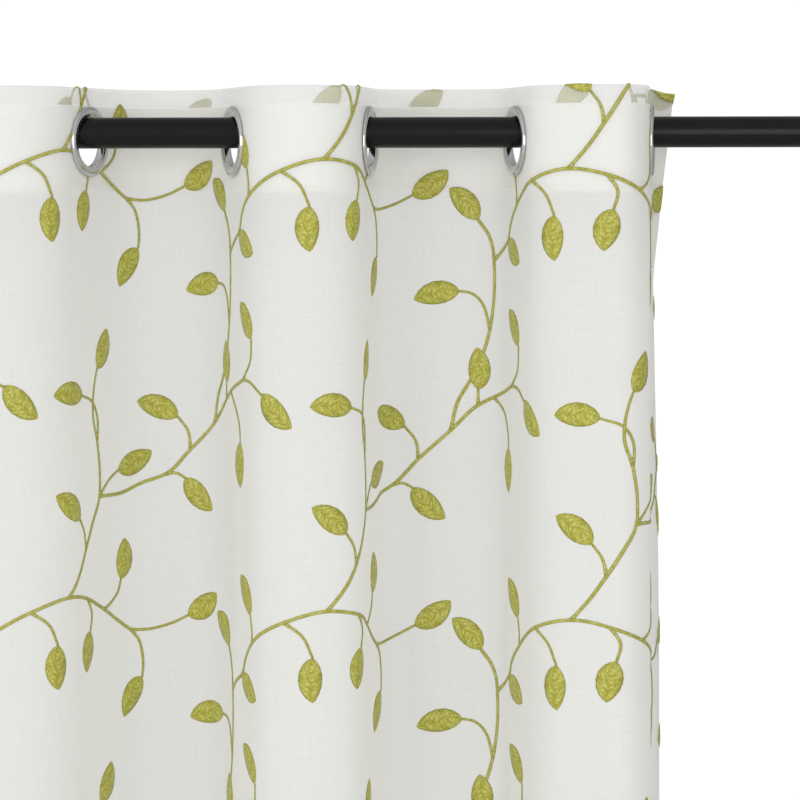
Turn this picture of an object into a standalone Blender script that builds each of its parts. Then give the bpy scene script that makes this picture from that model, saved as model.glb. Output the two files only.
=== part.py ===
"""Sheer voile curtain on its rod, hung by eight snap eyelets.

Metres, +Z up. The origin is the centre of the rod's left end face, +X runs along the rod
and -Y points into the room, so the curtain's face is seen looking along +Y.
"""

import math
from collections import namedtuple

import bmesh
import bpy
import numpy as np
from mathutils import Matrix

# Rod
ROD_LENGTH = 1.200
ROD_RADIUS = 0.0125
ROD_SIDES = 32

# Snap eyelets: a front half with a barrel, and a back half that closes on it
EYELET_BORE_RADIUS = 0.0200
EYELET_OUTER_RADIUS = 0.0285
EYELET_BARREL_RADIUS = 0.0212
EYELET_DOME = 0.0025
EYELET_CROWN = (0.25, 0.65)
EYELET_LIP = 0.0009
EYELET_SIDES = 24
HOLE_RADIUS = 0.0218
DRILL_LENGTH = 0.026
FIT_GAP = 0.0003
SEAT_GAP = 0.0005

# Cloth
PANEL_DROP = 2.134
VOILE_THICKNESS = 0.0012
BAND_THICKNESS = 0.0010
LAYER_GAP = 0.0005
HEADING_HEIGHT = 0.084
TURNOVER_HEIGHT = 0.015
EYELET_SPACING = 0.1846
RETURN_WIDTH = 0.054
EYELET_CENTRE_DROP = 0.044

# Folds. The cloth is flat across each eyelet and bends between two of them. Each bend is followed in
# FINE_STEPS parts for every column of the mesh, and a positive angle takes the cloth from front to back
FLAT_HALF = 0.029
BEND_STEPS = 10
FINE_STEPS = 20
RETURN_STEPS = 5
RETURN_CURL = math.radians(70)
CURL_FADE = 0.120
CORNER_DROOP = 0.005
FOLD_DEEPENING = 0.08
FOLD_DEEPENING_REACH = 0.5
FOLD_DRIFT = 0.010
HEM_SWAY = 0.006
HEM_SWAY_WAVES = 1.5
SKIRT_ROWS = 8
HEADING_ROWS = (TURNOVER_HEIGHT, 0.045, HEADING_HEIGHT)

NEWTON_ROUNDS = 12
NEWTON_NUDGE = 1e-4
NEWTON_LIMIT = 0.5

# One row for each eyelet from the left: the cloth's angle to the rod there, and the way to the next
Eyelet = namedtuple("Eyelet", "angle_deg gap_to_next")
EYELETS = (
    Eyelet(angle_deg=74.0, gap_to_next=0.1150),
    Eyelet(angle_deg=72.0, gap_to_next=0.1165),
    Eyelet(angle_deg=73.9, gap_to_next=0.1196),
    Eyelet(angle_deg=65.4, gap_to_next=0.1166),
    Eyelet(angle_deg=70.0, gap_to_next=0.1095),
    Eyelet(angle_deg=79.3, gap_to_next=0.1186),
    Eyelet(angle_deg=74.8, gap_to_next=0.1087),
    Eyelet(angle_deg=84.0, gap_to_next=0.0),
)

# Heights, measured down from the rod's axis and from the cloth's top edge
EYELET_Z = -(EYELET_BORE_RADIUS - ROD_RADIUS - SEAT_GAP)
TOP_EDGE_Z = EYELET_Z + EYELET_CENTRE_DROP

# Layers at the heading, measured backwards from the middle of the voile
BAND_OFFSET = VOILE_THICKNESS / 2 + LAYER_GAP + BAND_THICKNESS / 2
TURNOVER_OFFSET = 2 * BAND_OFFSET
FRONT_FACE = -VOILE_THICKNESS / 2
BACK_FACE = BAND_OFFSET + BAND_THICKNESS / 2
BAND_TOP = 0.0028

# The turned top edge as drops below it and shares of the way back to the turned-over cloth
TURN_TOP = VOILE_THICKNESS / 2
TURN_SHOULDER = TURN_TOP + TURNOVER_OFFSET / 2
TURNOVER = (
    (TURNOVER_HEIGHT, 1.0),
    (TURN_SHOULDER, 1.0),
    (TURN_TOP, 0.65),
    (TURN_TOP, 0.35),
    (TURN_SHOULDER, 0.0),
)

Plan = namedtuple("Plan", "x y heading beyond side")


def smooth(t):
    """Rises from 0 to 1 with level ends."""
    t = np.clip(t, 0.0, 1.0)
    return t * t * (3 - 2 * t)


def bend_path(start, end, sharp, skew):
    """Headings and points along one bend, from +start to -end, both in radians."""
    t = np.linspace(0, 1, BEND_STEPS * FINE_STEPS + 1)
    turned = t + sharp * np.sin(2 * math.pi * t) / (2 * math.pi) + skew * np.sin(math.pi * t)
    heading = start - (start + end) * turned
    step = (EYELET_SPACING - 2 * FLAT_HALF) / (len(t) - 1)
    middle = (heading[1:] + heading[:-1]) / 2
    x = np.concatenate([[0], np.cumsum(np.cos(middle))]) * step
    y = np.concatenate([[0], np.cumsum(np.sin(middle))]) * step
    return heading, x, y


def bend_between(start, end, gap):
    """The bend whose cloth leaves one eyelet and meets the next on the rod, gap metres on.

    Newton's method finds how sharp and how skewed the bend has to be.
    """

    def miss(sharp, skew):
        _, x, y = bend_path(start, end, sharp, skew)
        along = FLAT_HALF * (math.cos(start) + math.cos(end)) + x[-1] - gap
        across = FLAT_HALF * (math.sin(start) - math.sin(end)) + y[-1]
        return np.array([along, across])

    sharp, skew = 0.0, 0.0
    for _ in range(NEWTON_ROUNDS):
        here = miss(sharp, skew)
        with_sharp = (miss(sharp + NEWTON_NUDGE, skew) - here) / NEWTON_NUDGE
        with_skew = (miss(sharp, skew + NEWTON_NUDGE) - here) / NEWTON_NUDGE
        slope = np.column_stack([with_sharp, with_skew])
        change = np.clip(np.linalg.solve(slope, -here), -NEWTON_LIMIT, NEWTON_LIMIT)
        sharp += change[0]
        skew += change[1]
    return bend_path(start, end, sharp, skew)


def eyelet_places():
    """Each eyelet's X and its cloth's heading. The folds go behind the rod and in front by turns."""
    width = sum(eyelet.gap_to_next for eyelet in EYELETS)
    x = (ROD_LENGTH - width) / 2
    places = []
    for number, eyelet in enumerate(EYELETS):
        side = -1 if number % 2 == 0 else 1
        places.append((x, side * math.radians(eyelet.angle_deg)))
        x += eyelet.gap_to_next
    return places


def plan_of_folds():
    """The cloth seen from above: a column's X, Y and heading, and how far past an end eyelet it is."""
    places = eyelet_places()
    columns = []

    def add(x, y, heading, beyond=0.0, side=0):
        columns.append((x, y, heading, beyond, side))

    first_x, first_heading = places[0]
    last_x, last_heading = places[-1]
    returns = np.linspace(FLAT_HALF, RETURN_WIDTH, RETURN_STEPS + 1)
    for reach in returns[::-1]:
        add(
            first_x - reach * math.cos(first_heading),
            -reach * math.sin(first_heading),
            first_heading,
            reach,
            -1,
        )
    for number, (x, heading) in enumerate(places):
        add(x, 0.0, heading)
        if number == len(places) - 1:
            break
        side = math.copysign(1, heading)
        next_x, next_heading = places[number + 1]
        headings, path_x, path_y = bend_between(
            abs(heading), abs(next_heading), next_x - x
        )
        for i in range(0, len(headings), FINE_STEPS):
            add(
                x + FLAT_HALF * math.cos(heading) + path_x[i],
                side * (FLAT_HALF * math.sin(abs(heading)) + path_y[i]),
                side * headings[i],
            )
    for reach in returns:
        add(
            last_x + reach * math.cos(last_heading),
            reach * math.sin(last_heading),
            last_heading,
            reach,
            1,
        )
    return Plan(*np.array(columns).T)


def on_cloth(plan, drop, offset):
    """Points of the hung cloth, for columns of the plan at one drop below its top edge.

    offset is measured backwards from the middle of the voile. Below the heading the folds
    deepen a little, drift to the right and sway, and both free ends curl out at the top.
    """
    below = max(drop - HEADING_HEIGHT, 0.0)
    share = below / (PANEL_DROP - HEADING_HEIGHT)
    depth = 1 + FOLD_DEEPENING * smooth(below / FOLD_DEEPENING_REACH)
    sway = HEM_SWAY * share * np.sin(2 * math.pi * HEM_SWAY_WAVES * plan.x / ROD_LENGTH)
    past = np.maximum(plan.beyond - FLAT_HALF, 0.0)
    curled = max(1 - drop / CURL_FADE, 0.0)
    curl = RETURN_CURL * curled * past / (RETURN_WIDTH - FLAT_HALF)
    upright = np.abs(plan.heading)
    chord = upright - curl / 2
    x = plan.x + FOLD_DRIFT * share + sway + plan.side * past * (np.cos(chord) - np.cos(upright))
    y = plan.y * depth + past * (np.sin(chord) - np.sin(upright))
    facing = np.sign(plan.heading) * (upright - curl)
    x = x - offset * np.sin(facing)
    y = y + offset * np.cos(facing)
    z = TOP_EDGE_Z - drop - CORNER_DROOP * smooth(past / (RETURN_WIDTH - FLAT_HALF))
    return np.column_stack([x, y, np.broadcast_to(z, x.shape)])


def collection_of(name):
    collection = bpy.data.collections.new(name)
    bpy.context.scene.collection.children.link(collection)
    return collection


def material_of(name, colour, roughness, metallic=0.0):
    material = bpy.data.materials.new(name)
    material.use_nodes = True
    shader = material.node_tree.nodes["Principled BSDF"]
    shader.inputs["Base Color"].default_value = (*colour, 1)
    shader.inputs["Roughness"].default_value = roughness
    shader.inputs["Metallic"].default_value = metallic
    return material


def add_object(name, mesh, collection, material=None, parent=None):
    thing = bpy.data.objects.new(name, mesh)
    collection.objects.link(thing)
    thing.parent = parent
    if material and not mesh.materials:
        mesh.materials.append(material)
    return thing


def sheet_mesh(name, plan, rows):
    """An open sheet: a grid whose rows hang at the given drops and offsets."""
    grid = bmesh.new()
    columns = len(plan.x)
    bmesh.ops.create_grid(grid, x_segments=columns - 1, y_segments=len(rows) - 1, size=1)
    points = np.concatenate([on_cloth(plan, drop, offset) for drop, offset in rows])
    for vertex, point in zip(grid.verts, points):
        vertex.co = point
    mesh = bpy.data.meshes.new(name)
    grid.to_mesh(mesh)
    grid.free()
    mesh.shade_smooth()
    return mesh


def thicken_and_punch(sheet, thickness, cutters):
    solidify = sheet.modifiers.new("thickness", "SOLIDIFY")
    solidify.thickness = thickness
    solidify.offset = 0
    solidify.use_even_offset = True
    punch = sheet.modifiers.new("eyelet holes", "BOOLEAN")
    punch.operation = "DIFFERENCE"
    punch.solver = "EXACT"
    punch.operand_type = "COLLECTION"
    punch.collection = cutters


def add_rod(collection, material, parent):
    mesh = bpy.data.meshes.new("rod")
    tube = bmesh.new()
    bmesh.ops.create_cone(
        tube,
        cap_ends=True,
        segments=ROD_SIDES,
        radius1=ROD_RADIUS,
        radius2=ROD_RADIUS,
        depth=ROD_LENGTH,
    )
    tube.to_mesh(mesh)
    tube.free()
    mesh.shade_smooth()
    mesh.set_sharp_from_angle(angle=math.radians(40))
    rod = add_object("rod", mesh, collection, material, parent)
    rod.rotation_euler = (0, math.radians(90), 0)
    rod.location = (ROD_LENGTH / 2, 0, 0)


def ring_mesh(name, profile):
    """A closed profile of (radius, offset) points turned about Z by a Screw modifier."""
    mesh = bpy.data.meshes.new(name)
    corners = [(radius, 0.0, offset) for radius, offset in profile]
    edges = [(i, (i + 1) % len(corners)) for i in range(len(corners))]
    mesh.from_pydata(corners, edges, [])
    return mesh


def add_turning(ring):
    screw = ring.modifiers.new("turned", "SCREW")
    screw.axis = "Z"
    screw.steps = EYELET_SIDES
    screw.render_steps = EYELET_SIDES
    screw.use_merge_vertices = True
    screw.merge_threshold = 0.00001
    screw.use_smooth_shade = True


def eyelet_frame(x, heading):
    """Turns local Z into the cloth's backward normal and local X upwards, at the eyelet."""
    back = (-math.sin(heading), math.cos(heading), 0.0)
    side = (math.cos(heading), math.sin(heading), 0.0)
    turn = Matrix(((0, side[0], back[0]), (0, side[1], back[1]), (1, 0, 0)))
    return Matrix.Translation((x, 0, EYELET_Z)) @ turn.to_4x4()


def crown_radii(inner):
    """Where the flange's flat crown starts and ends, between its inner and outer radius."""
    return [inner + share * (EYELET_OUTER_RADIUS - inner) for share in EYELET_CROWN]


def front_profile():
    """The domed flange before the cloth, and the barrel that goes through it."""
    seat = FRONT_FACE - FIT_GAP
    crown = seat - EYELET_DOME
    end = BACK_FACE + FIT_GAP + EYELET_DOME - EYELET_LIP
    crown_in, crown_out = crown_radii(EYELET_BORE_RADIUS)
    return (
        (EYELET_BORE_RADIUS, end),
        (EYELET_BARREL_RADIUS, end),
        (EYELET_BARREL_RADIUS, seat),
        (EYELET_OUTER_RADIUS, seat),
        (EYELET_OUTER_RADIUS, seat - EYELET_LIP),
        (crown_out, crown),
        (crown_in, crown),
        (EYELET_BORE_RADIUS, seat - EYELET_LIP),
    )


def back_profile():
    """The domed ring behind the cloth, which closes round the barrel."""
    inner = EYELET_BARREL_RADIUS + FIT_GAP
    seat = BACK_FACE + FIT_GAP
    crown = seat + EYELET_DOME
    crown_in, crown_out = crown_radii(inner)
    return (
        (crown_in, crown),
        (crown_out, crown),
        (EYELET_OUTER_RADIUS, seat + EYELET_LIP),
        (EYELET_OUTER_RADIUS, seat),
        (inner, seat),
        (inner, crown - EYELET_LIP),
    )


def add_eyelets(collection, cutters, material, parent):
    halves = {
        "front": ring_mesh("eyelet_front", front_profile()),
        "back": ring_mesh("eyelet_back", back_profile()),
    }
    for number, (x, heading) in enumerate(eyelet_places(), start=1):
        place = eyelet_frame(x, heading)
        for half, mesh in halves.items():
            ring = add_object(f"eyelet_{number}_{half}", mesh, collection, material, parent)
            ring.matrix_world = place
            add_turning(ring)
        cutter = add_object(f"hole_{number}", bpy.data.meshes.new("hole"), cutters)
        drill = bmesh.new()
        bmesh.ops.create_cone(
            drill,
            cap_ends=True,
            segments=EYELET_SIDES,
            radius1=HOLE_RADIUS,
            radius2=HOLE_RADIUS,
            depth=DRILL_LENGTH,
        )
        drill.to_mesh(cutter.data)
        drill.free()
        cutter.matrix_world = place
        cutter.hide_render = True
        cutter.display_type = "WIRE"


def main():
    for thing in list(bpy.data.objects):
        bpy.data.objects.remove(thing)
    parts = collection_of("voile curtain on rod")
    cutters = collection_of("cutters")
    hanging = bpy.data.objects.new("hanging", None)
    parts.objects.link(hanging)

    satin_black = material_of("black satin lacquer", (0.012, 0.012, 0.011), 0.38)
    voile = material_of("off-white voile", (0.74, 0.745, 0.70), 0.9)
    stiff_band = material_of("white heading band", (0.82, 0.82, 0.80), 0.85)
    chrome = material_of("chromed eyelet", (0.80, 0.81, 0.82), 0.12, 1.0)

    plan = plan_of_folds()
    turnover = [(drop, share * TURNOVER_OFFSET) for drop, share in TURNOVER]
    skirt = np.linspace(HEADING_HEIGHT, PANEL_DROP, SKIRT_ROWS + 1)[1:]
    face = [(drop, 0.0) for drop in (*HEADING_ROWS, *skirt)]
    band = [(drop, BAND_OFFSET) for drop in (BAND_TOP, *HEADING_ROWS)]

    add_rod(parts, satin_black, hanging)
    add_eyelets(parts, cutters, chrome, hanging)
    panel = add_object(
        "curtain_panel", sheet_mesh("curtain_panel", plan, turnover + face), parts, voile, hanging
    )
    thicken_and_punch(panel, VOILE_THICKNESS, cutters)
    strip = add_object(
        "heading_band", sheet_mesh("heading_band", plan, band), parts, stiff_band, hanging
    )
    thicken_and_punch(strip, BAND_THICKNESS, cutters)


main()
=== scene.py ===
"""Looks of the sheer voile curtain: hung voile, heading band, vine embroidery, eyelets and rod.

Metres, +Z up. The origin is the centre of the rod's left end face, +X runs along the rod and
-Y points into the room.
"""

import math
from collections import namedtuple
from itertools import product

import bmesh
import bpy
import numpy as np
from mathutils import Matrix, Vector


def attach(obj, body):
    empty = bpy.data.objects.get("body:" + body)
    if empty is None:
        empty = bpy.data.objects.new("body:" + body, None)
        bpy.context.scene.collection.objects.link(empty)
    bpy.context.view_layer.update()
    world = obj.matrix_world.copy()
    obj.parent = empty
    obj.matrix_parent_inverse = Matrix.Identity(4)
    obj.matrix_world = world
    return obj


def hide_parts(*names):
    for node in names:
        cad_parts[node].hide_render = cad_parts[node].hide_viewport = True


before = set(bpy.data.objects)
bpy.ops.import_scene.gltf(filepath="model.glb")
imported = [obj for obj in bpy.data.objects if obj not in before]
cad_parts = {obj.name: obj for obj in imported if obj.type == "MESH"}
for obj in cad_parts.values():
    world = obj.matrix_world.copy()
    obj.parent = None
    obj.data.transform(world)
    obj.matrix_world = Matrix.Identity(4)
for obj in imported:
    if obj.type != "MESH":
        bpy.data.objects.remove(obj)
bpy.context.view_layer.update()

MM = 0.001

# Rod and eyelets, as in the source
ROD_LENGTH = 1.200
ROD_RADIUS = 0.0125
EYELET_BORE_RADIUS = 0.0200
EYELET_OUTER_RADIUS = 0.0285
EYELET_BARREL_RADIUS = 0.0212
EYELET_DOME = 0.0025
EYELET_LIP = 0.0009
FIT_GAP = 0.0003
SEAT_GAP = 0.0005

# Cloth, as in the source
PANEL_DROP = 2.134
VOILE_THICKNESS = 0.0012
BAND_THICKNESS = 0.0010
LAYER_GAP = 0.0005
HEADING_HEIGHT = 0.084
TURNOVER_HEIGHT = 0.015
EYELET_SPACING = 0.1846
RETURN_WIDTH = 0.054
EYELET_CENTRE_DROP = 0.044

# Folds, as in the source
FLAT_HALF = 0.029
BEND_FINE_STEPS = 200
CORNER_DROOP = 0.005
FOLD_DEEPENING = 0.08
FOLD_DEEPENING_REACH = 0.5
FOLD_DRIFT = 0.010
HEM_SWAY = 0.006
HEM_SWAY_WAVES = 1.5
NEWTON_ROUNDS = 12
NEWTON_NUDGE = 1e-4
NEWTON_LIMIT = 0.5

# The free ends curl out a little further than in the source, as in the photograph
RETURN_CURL = math.radians(92)
CURL_FADE = 0.150

# One row for each eyelet from the left: the cloth's angle to the rod there, and the way to the next
Eyelet = namedtuple("Eyelet", "angle_deg gap_to_next")
EYELETS = (
    Eyelet(angle_deg=74.0, gap_to_next=0.1150),
    Eyelet(angle_deg=72.0, gap_to_next=0.1165),
    Eyelet(angle_deg=73.9, gap_to_next=0.1196),
    Eyelet(angle_deg=65.4, gap_to_next=0.1166),
    Eyelet(angle_deg=70.0, gap_to_next=0.1095),
    Eyelet(angle_deg=79.3, gap_to_next=0.1186),
    Eyelet(angle_deg=74.8, gap_to_next=0.1087),
    Eyelet(angle_deg=84.0, gap_to_next=0.0),
)

EYELET_Z = -(EYELET_BORE_RADIUS - ROD_RADIUS - SEAT_GAP)
TOP_EDGE_Z = EYELET_Z + EYELET_CENTRE_DROP
BAND_OFFSET = VOILE_THICKNESS / 2 + LAYER_GAP + BAND_THICKNESS / 2
FRONT_FACE = -VOILE_THICKNESS / 2
BACK_FACE = BAND_OFFSET + BAND_THICKNESS / 2
BAND_TOP = 0.0028
BAND_INSET = 0.0008
PANEL_WIDTH = 2 * RETURN_WIDTH + (len(EYELETS) - 1) * EYELET_SPACING
EYELET_U = RETURN_WIDTH + EYELET_SPACING * np.arange(len(EYELETS))

# Hems. The voile is turned back round the band at the top and in a plain hem on the other sides
TOP_TURN_RADIUS = BAND_OFFSET
TOP_SHOULDER = VOILE_THICKNESS / 2 + TOP_TURN_RADIUS
HEM_TURN_RADIUS = 0.0007
SIDE_HEM = 0.020
BOTTOM_HEM = 0.075
STITCH_INSET = 0.0035
ROUND_BAND_FADE = 0.03

# Grid of the voile
COLUMN_STEP = 0.0042
HEADING_STEP = 0.0030
SKIRT_STEP = 0.0140
TURN_STEPS = 5
LEAST_SPACING = 2e-4
CUT_RADIUS = 0.0235

Folds = namedtuple("Folds", "u x y heading")


def smooth(t):
    """Rises from 0 to 1 with level ends: 3 t squared less 2 t cubed."""
    t = np.clip(t, 0.0, 1.0)
    return t * t * (3 - 2 * t)


def bend_path(start, end, sharp, skew):
    """Headings and points along one bend, from +start to -end, both in radians."""
    t = np.linspace(0, 1, BEND_FINE_STEPS + 1)
    turned = t + sharp * np.sin(2 * math.pi * t) / (2 * math.pi) + skew * np.sin(math.pi * t)
    heading = start - (start + end) * turned
    step = (EYELET_SPACING - 2 * FLAT_HALF) / BEND_FINE_STEPS
    middle = (heading[1:] + heading[:-1]) / 2
    x = np.concatenate([[0], np.cumsum(np.cos(middle))]) * step
    y = np.concatenate([[0], np.cumsum(np.sin(middle))]) * step
    return heading, x, y


def bend_between(start, end, gap):
    """The bend whose cloth leaves one eyelet and meets the next on the rod, gap metres on.

    Newton's method finds how sharp and how skewed the bend has to be.
    """

    def miss(sharp, skew):
        _, x, y = bend_path(start, end, sharp, skew)
        along = FLAT_HALF * (math.cos(start) + math.cos(end)) + x[-1] - gap
        across = FLAT_HALF * (math.sin(start) - math.sin(end)) + y[-1]
        return np.array([along, across])

    sharp, skew = 0.0, 0.0
    for _ in range(NEWTON_ROUNDS):
        here = miss(sharp, skew)
        with_sharp = (miss(sharp + NEWTON_NUDGE, skew) - here) / NEWTON_NUDGE
        with_skew = (miss(sharp, skew + NEWTON_NUDGE) - here) / NEWTON_NUDGE
        slope = np.column_stack([with_sharp, with_skew])
        change = np.clip(np.linalg.solve(slope, -here), -NEWTON_LIMIT, NEWTON_LIMIT)
        sharp += change[0]
        skew += change[1]
    return bend_path(start, end, sharp, skew)


def eyelet_places():
    """Each eyelet's X and its cloth's heading. The folds go behind the rod and in front by turns."""
    gaps = np.array([eyelet.gap_to_next for eyelet in EYELETS])
    x = (ROD_LENGTH - gaps.sum()) / 2 + np.cumsum(gaps) - gaps
    angles = np.radians([eyelet.angle_deg for eyelet in EYELETS])
    sides = np.where(np.arange(len(EYELETS)) % 2 == 0, -1, 1)
    return list(zip(x, sides * angles))


def fold_lines():
    """The hung cloth seen from above, against u, the way along the flat cloth from its left edge."""
    places = eyelet_places()
    rows = []
    x, heading = places[0]
    reach_x, reach_y = RETURN_WIDTH * math.cos(heading), RETURN_WIDTH * math.sin(heading)
    rows.append([[0.0], [x - reach_x], [-reach_y], [heading]])
    for number, (x, heading) in enumerate(places[:-1]):
        next_x, next_heading = places[number + 1]
        side = math.copysign(1, heading)
        headings, path_x, path_y = bend_between(abs(heading), abs(next_heading), next_x - x)
        u = EYELET_U[number] + np.linspace(FLAT_HALF, EYELET_SPACING - FLAT_HALF, len(headings))
        path_x = x + FLAT_HALF * math.cos(heading) + path_x
        path_y = side * (FLAT_HALF * math.sin(abs(heading)) + path_y)
        rows.append([u, path_x, path_y, side * headings])
    x, heading = places[-1]
    reach_x, reach_y = RETURN_WIDTH * math.cos(heading), RETURN_WIDTH * math.sin(heading)
    rows.append([[PANEL_WIDTH], [x + reach_x], [reach_y], [heading]])
    return Folds(*(np.concatenate(parts) for parts in zip(*rows)))


FOLDS = fold_lines()

# Soft creases on the folds: u and drop of the middle, half length, width and depth,
# and how far the crease leans to the right on its way down. A positive depth is a ridge to the room
Crease = namedtuple("Crease", "u_mm drop_mm half_mm width_mm depth_mm lean")
CREASES = (
    Crease(u_mm=95, drop_mm=420, half_mm=330, width_mm=15, depth_mm=1.6, lean=0.02),
    Crease(u_mm=168, drop_mm=1250, half_mm=800, width_mm=20, depth_mm=-2.0, lean=0.01),
    Crease(u_mm=300, drop_mm=900, half_mm=700, width_mm=17, depth_mm=1.8, lean=-0.01),
    Crease(u_mm=352, drop_mm=1700, half_mm=420, width_mm=14, depth_mm=1.7, lean=0.03),
    Crease(u_mm=486, drop_mm=1500, half_mm=600, width_mm=19, depth_mm=-2.1, lean=-0.02),
    Crease(u_mm=549, drop_mm=380, half_mm=280, width_mm=13, depth_mm=1.2, lean=0.03),
    Crease(u_mm=668, drop_mm=430, half_mm=330, width_mm=15, depth_mm=-1.5, lean=-0.02),
    Crease(u_mm=716, drop_mm=1200, half_mm=700, width_mm=17, depth_mm=1.9, lean=0.01),
    Crease(u_mm=852, drop_mm=480, half_mm=380, width_mm=14, depth_mm=1.5, lean=0.02),
    Crease(u_mm=905, drop_mm=1500, half_mm=620, width_mm=20, depth_mm=-2.0, lean=-0.02),
    Crease(u_mm=1042, drop_mm=430, half_mm=330, width_mm=14, depth_mm=-1.4, lean=0.03),
    Crease(u_mm=1092, drop_mm=1300, half_mm=760, width_mm=18, depth_mm=1.9, lean=-0.01),
    Crease(u_mm=1232, drop_mm=420, half_mm=320, width_mm=13, depth_mm=1.3, lean=-0.03),
    Crease(u_mm=1262, drop_mm=260, half_mm=60, width_mm=7, depth_mm=-0.9, lean=0.35),
    Crease(u_mm=1290, drop_mm=1600, half_mm=520, width_mm=17, depth_mm=-1.8, lean=0.02),
    Crease(u_mm=1277, drop_mm=300, half_mm=900, width_mm=19, depth_mm=7.5, lean=0.0),
    Crease(u_mm=1394, drop_mm=620, half_mm=620, width_mm=30, depth_mm=5.0, lean=0.0),
)
CREASE_WINDOW = 1.3

# Slow waves in the voile between the folds: length across, lengths per metre of drop, and height
Wave = namedtuple("Wave", "length_mm turns_per_metre height_mm")
WAVES = (
    Wave(length_mm=71, turns_per_metre=0.31, height_mm=0.7),
    Wave(length_mm=43, turns_per_metre=-0.47, height_mm=0.4),
    Wave(length_mm=117, turns_per_metre=0.83, height_mm=0.6),
)
WAVE_REACH = 0.35
HEM_RIPPLE = 0.0016
HEM_RIPPLE_LENGTH = 0.052
HEM_RIPPLE_REACH = 0.22


def relief(u, drop):
    """How far the voile stands out to the room from its folds: creases, waves and the hem's ripple.

    A crease is a Gaussian across times a window that fades along it. The waves and the ripple fade
    in below the heading, where the band no longer keeps the cloth flat.
    """
    below = drop - HEADING_HEIGHT
    total = np.zeros(np.broadcast(u, drop).shape)
    for wave in WAVES:
        turns = u / (wave.length_mm * MM) + wave.turns_per_metre * drop
        total += wave.height_mm * MM * np.sin(2 * math.pi * turns)
    near_hem = smooth((drop - PANEL_DROP + HEM_RIPPLE_REACH) / HEM_RIPPLE_REACH)
    total += HEM_RIPPLE * near_hem * np.sin(2 * math.pi * u / HEM_RIPPLE_LENGTH)
    total *= smooth(below / WAVE_REACH)
    for crease in CREASES:
        along = (drop - crease.drop_mm * MM) / (crease.half_mm * MM)
        across = (u - crease.u_mm * MM - crease.lean * (drop - crease.drop_mm * MM)) / (crease.width_mm * MM)
        total += crease.depth_mm * MM * np.exp(-across * across) * smooth(CREASE_WINDOW * (1 - np.abs(along)))
    return total


def turn_round(way, radius):
    """A straight run that ends in a half circle and comes back. way is how far past the half circle's
    start a point is. Gives the way on, the way back from the face, and the outward normal's two parts.
    """
    angle = np.clip(way / radius, 0, math.pi)
    returned = np.maximum(way - math.pi * radius, 0)
    on = np.minimum(way, 0) + radius * np.sin(angle) - returned
    return on, radius * (1 - np.cos(angle)), np.sin(angle), np.cos(angle)


def hang(u, drop, offset):
    """Points of the hung cloth at u along it and drop below its top edge, offset backwards.

    Below the heading the folds deepen a little, drift to the right and sway, and both free ends
    curl out at the top, each as a bend from its last eyelet on.
    """
    x, y, heading = (np.interp(u, FOLDS.u, line) for line in FOLDS[1:])
    below = np.maximum(drop - HEADING_HEIGHT, 0.0)
    share = below / (PANEL_DROP - HEADING_HEIGHT)
    depth = 1 + FOLD_DEEPENING * smooth(below / FOLD_DEEPENING_REACH)
    sway = HEM_SWAY * share * np.sin(2 * math.pi * HEM_SWAY_WAVES * x / ROD_LENGTH)
    beyond = np.maximum(np.maximum(EYELET_U[0] - u, u - EYELET_U[-1]), 0.0)
    past = np.maximum(beyond - FLAT_HALF, 0.0)
    side = np.sign(u - PANEL_WIDTH / 2)
    free = past / (RETURN_WIDTH - FLAT_HALF)
    curl = RETURN_CURL * np.maximum(1 - drop / CURL_FADE, 0.0) * free
    upright = np.abs(heading)
    chord = upright - curl / 2
    x = x + FOLD_DRIFT * share + sway + side * past * (np.cos(chord) - np.cos(upright))
    y = y * depth + past * (np.sin(chord) - np.sin(upright))
    facing = np.sign(heading) * (upright - curl)
    offset = offset - relief(u, drop)
    x = x - offset * np.sin(facing)
    y = y + offset * np.cos(facing)
    z = TOP_EDGE_Z - drop - CORNER_DROOP * smooth(free)
    return np.stack(np.broadcast_arrays(x, y, z), axis=-1)


def on_voile(u, s, height):
    """Points at u and s of the flat voile, height out from its face, with its hems turned back.

    s is the way down from the top edge. Past each edge the cloth goes round a half circle and
    comes back behind its own face.
    """
    top = turn_round(TOP_SHOULDER - s, TOP_TURN_RADIUS)
    bottom = turn_round(s - (PANEL_DROP - HEM_TURN_RADIUS), HEM_TURN_RADIUS)
    drop = np.where(s < PANEL_DROP / 2, TOP_SHOULDER - top[0], PANEL_DROP - HEM_TURN_RADIUS + bottom[0])
    round_band = smooth((HEADING_HEIGHT + ROUND_BAND_FADE - drop) / ROUND_BAND_FADE)
    side_radius = HEM_TURN_RADIUS + (TOP_TURN_RADIUS - HEM_TURN_RADIUS) * round_band
    left = turn_round(side_radius - u, side_radius)
    right = turn_round(u - (PANEL_WIDTH - side_radius), side_radius)
    is_left = u < PANEL_WIDTH / 2
    across = np.where(is_left, side_radius - left[0], PANEL_WIDTH - side_radius + right[0])
    side_in, side_out = (np.where(is_left, left[i], right[i]) for i in (2, 3))
    end_in, end_out = (np.where(s < PANEL_DROP / 2, top[i], bottom[i]) for i in (2, 3))
    back = np.where(is_left, left[1], right[1]) + top[1] + bottom[1]
    across = across + height * side_in * np.where(is_left, -1, 1)
    drop = drop + height * end_in * np.where(s < PANEL_DROP / 2, -1, 1)
    return hang(across, drop, back - height * side_out * end_out)


def linear(hex_colour):
    """An sRGB hex colour as linear RGBA."""
    srgb = np.array([int(hex_colour[i : i + 2], 16) for i in (1, 3, 5)]) / 255
    light = np.where(srgb <= 0.04045, srgb / 12.92, ((srgb + 0.055) / 1.055) ** 2.4)
    return (*light, 1.0)


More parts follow.
